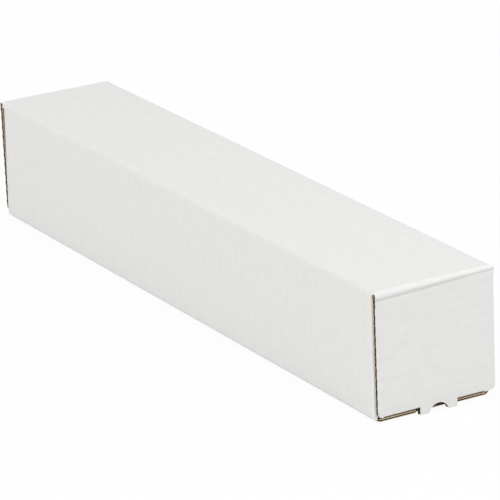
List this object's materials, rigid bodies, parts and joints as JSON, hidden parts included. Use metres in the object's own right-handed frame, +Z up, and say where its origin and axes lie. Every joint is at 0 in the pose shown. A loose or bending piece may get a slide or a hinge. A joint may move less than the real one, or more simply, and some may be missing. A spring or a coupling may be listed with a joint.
{
  "type": "square mailing tube",
  "caption": "Long square shipping tube folded from white corrugated board, with a hinged tuck-in closure flap and a notched pull tab at each end.",
  "frame": {"origin": "middle of the tube's length and width, at the level of the surface it stands on, under the pull tabs", "axes": "+X along the tube to the near end, +Y towards the double back wall, +Z up through the top panel that carries the closure flaps"},
  "size_m": [0.4698, 0.0856, 0.0834],
  "materials": {
    "white_board": "matte white liner over kraft corrugated board"
  },
  "bodies": {
    "tube": {"tube_body": "white_board"},
    "near_flap": {"near_end_flap": "white_board"},
    "far_flap": {"far_end_flap": "white_board"}
  },
  "joints": [
    {"name": "near_flap_hinge", "type": "hinge", "parent": "tube", "child": "near_flap", "pos_m": [0.23379, 0, 0.08229], "axis": [0, -1, 0], "range_deg": [0, 170]},
    {"name": "far_flap_hinge", "type": "hinge", "parent": "tube", "child": "far_flap", "pos_m": [-0.23379, 0, 0.08229], "axis": [0, 1, 0], "range_deg": [0, 170]}
  ]
}
